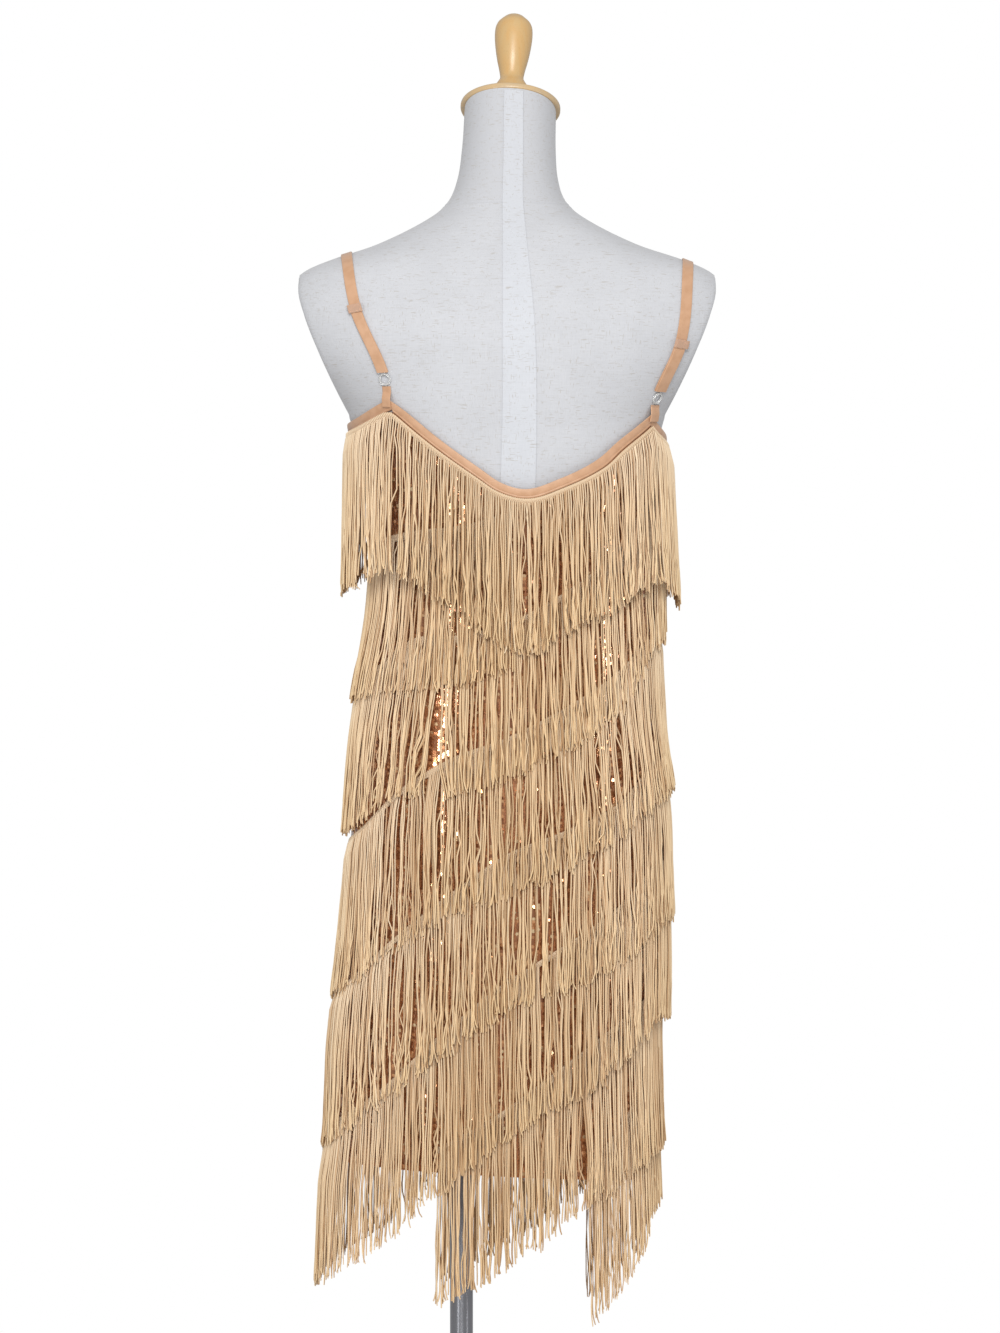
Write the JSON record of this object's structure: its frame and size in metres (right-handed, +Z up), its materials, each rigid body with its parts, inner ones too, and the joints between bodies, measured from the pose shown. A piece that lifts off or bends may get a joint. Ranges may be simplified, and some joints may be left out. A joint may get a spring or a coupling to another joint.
{
  "type": "flapper dress on dress form",
  "caption": "Sleeveless flapper dress in tiers of slanting fringe over a sequined sheath, on a limbless linen dress form with turned cap, pole and round base.",
  "frame": {"origin": "middle of the base plate's underside, under the pole, on the floor", "axes": "+Z up along the pole, -Y the way the back of the dress faces, -X towards the wearer's left"},
  "size_m": [0.4232, 0.36, 1.6049],
  "materials": {
    "linen": "plain weave linen over padding",
    "turned_beech": "turned, satin varnish",
    "polished_steel": "polished",
    "painted_iron": "satin black paint",
    "sequin_cloth": "knit sewn over with small copper sequins",
    "satin_tape": "satin-faced stretch tape",
    "rayon_fringe": "twisted chainette fringe with a soft sheen",
    "clear_plastic": "clear, moulded"
  },
  "bodies": {
    "root": {"binding_arm_left": "satin_tape", "binding_arm_right": "satin_tape", "binding_neck_back": "satin_tape", "binding_neck_front": "satin_tape", "dress_back": "sequin_cloth", "dress_front": "sequin_cloth", "form_knob": "turned_beech", "form_neck_cap": "turned_beech", "form_torso": "linen", "fringe_1_back": "rayon_fringe", "fringe_1_front": "rayon_fringe", "fringe_2_back": "rayon_fringe", "fringe_2_front": "rayon_fringe", "fringe_3_back": "rayon_fringe", "fringe_3_front": "rayon_fringe", "fringe_4_back": "rayon_fringe", "fringe_4_front": "rayon_fringe", "fringe_5_back": "rayon_fringe", "fringe_5_front": "rayon_fringe", "fringe_6_back": "rayon_fringe", "fringe_6_front": "rayon_fringe", "fringe_7_back": "rayon_fringe", "fringe_7_front": "rayon_fringe", "fringe_8_back": "rayon_fringe", "fringe_8_front": "rayon_fringe", "stand_base": "painted_iron", "stand_collar": "polished_steel", "stand_pole": "polished_steel", "strap_left": "satin_tape", "strap_return_left": "satin_tape", "strap_return_right": "satin_tape", "strap_right": "satin_tape", "strap_ring_left": "clear_plastic", "strap_ring_right": "clear_plastic", "strap_slider_left": "clear_plastic", "strap_slider_right": "clear_plastic", "strap_tab_left": "satin_tape", "strap_tab_right": "satin_tape"}
  },
  "joints": []
}
